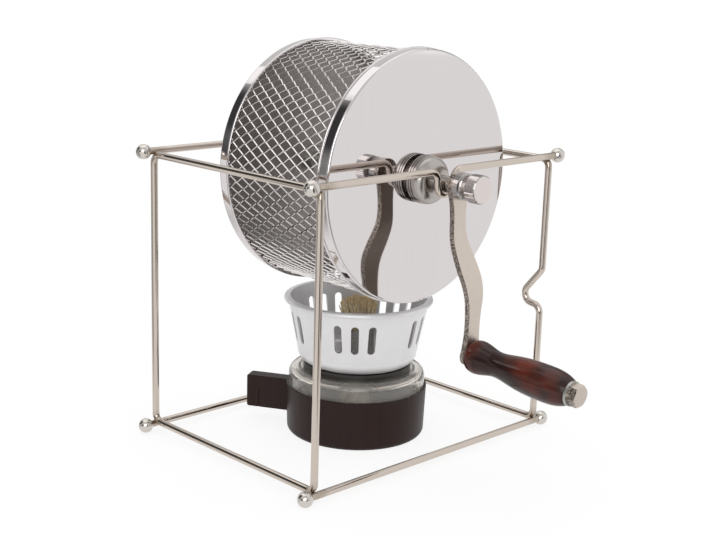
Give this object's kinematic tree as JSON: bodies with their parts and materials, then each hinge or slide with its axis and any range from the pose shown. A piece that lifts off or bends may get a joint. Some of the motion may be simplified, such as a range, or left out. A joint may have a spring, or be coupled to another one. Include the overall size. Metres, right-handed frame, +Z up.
{
  "type": "stovetop coffee bean roaster",
  "caption": "Hand cranked mesh drum for roasting coffee beans, lying in a bent wire stand over a small glass spirit burner with a slotted wind cup.",
  "frame": {"origin": "on the table, midway between the side loops and between the front and rear uprights; the burner's flat foot covers this point", "axes": "+Z up, -Y towards the crank along the drum's axis, +X to the right as seen from the crank side"},
  "size_m": [0.1988, 0.2385, 0.2271],
  "materials": {
    "stand_wire": "bright nickel plate",
    "stand_ball": "bright nickel plate",
    "mesh_steel": "bright expanded stainless",
    "cap_steel": "polished stainless",
    "shaft_steel": "turned",
    "hub_steel": "fine turned",
    "fastener_steel": "zinc plated",
    "arm_steel": "satin nickel plate",
    "bolt_steel": "satin nickel plate",
    "nut_chrome": "chrome plate",
    "grip_wood": "dark stain, glossy lacquer",
    "base_plastic": "dark brown, satin",
    "jar_glass": "clear",
    "seal_rubber": "matt",
    "cap_black": "semi gloss black",
    "wick_cotton": "frayed cotton",
    "cup_aluminium": "satin spun",
    "tube_steel": "plain"
  },
  "bodies": {
    "stand": {"left_side_loop": "stand_wire", "right_side_loop": "stand_wire", "front_top_bar": "stand_wire", "rear_top_bar": "stand_wire", "front_bottom_bar": "stand_wire", "rear_bottom_bar": "stand_wire", "top_balls": "stand_ball", "foot_balls": "stand_ball"},
    "drum": {"drum_mesh": "mesh_steel", "front_end_cap": "cap_steel", "rear_end_cap": "cap_steel", "drum_shaft": "shaft_steel", "front_hub": "hub_steel", "rear_hub": "hub_steel", "hub_set_screws": "fastener_steel", "inner_lock_nuts": "fastener_steel", "crank_arm": "arm_steel", "grip_bolt": "bolt_steel", "grip_washer": "fastener_steel", "crank_collar": "nut_chrome"},
    "grip": {"wood_grip": "grip_wood"},
    "nut": {"thumb_nut": "nut_chrome"},
    "burner": {"burner_base": "base_plastic", "fuel_jar": "jar_glass", "jar_seal": "seal_rubber", "burner_cap": "cap_black", "wick_tube": "tube_steel"},
    "cup": {"wind_cup": "cup_aluminium"},
    "wick": {"wick": "wick_cotton"}
  },
  "joints": [
    {"name": "drum_spin", "type": "hinge", "parent": "stand", "child": "drum", "pos_m": [0, 0, 0.15745], "axis": [0, -1, 0], "continuous": true},
    {"name": "grip_spin", "type": "hinge", "parent": "drum", "child": "grip", "pos_m": [0.00379, -0.09076, 0.06703], "axis": [0.0026, -0.998, -0.0627], "continuous": true},
    {"name": "thumb_nut_turn", "type": "hinge", "parent": "drum", "child": "nut", "pos_m": [0, -0.08607, 0.15745], "axis": [0, -1, 0], "range_deg": [0, 1440]},
    {"name": "burner_slide", "type": "slide", "parent": "stand", "child": "burner", "axis": [1, 0, 0], "range_m": [-0.043, 0.029]},
    {"name": "wind_cup_lift", "type": "slide", "parent": "burner", "child": "cup", "axis": [0, 0, 1], "range_m": [0, 0.005]},
    {"name": "wick_raise", "type": "slide", "parent": "burner", "child": "wick", "axis": [0, 0, 1], "range_m": [0, 0.004]}
  ]
}
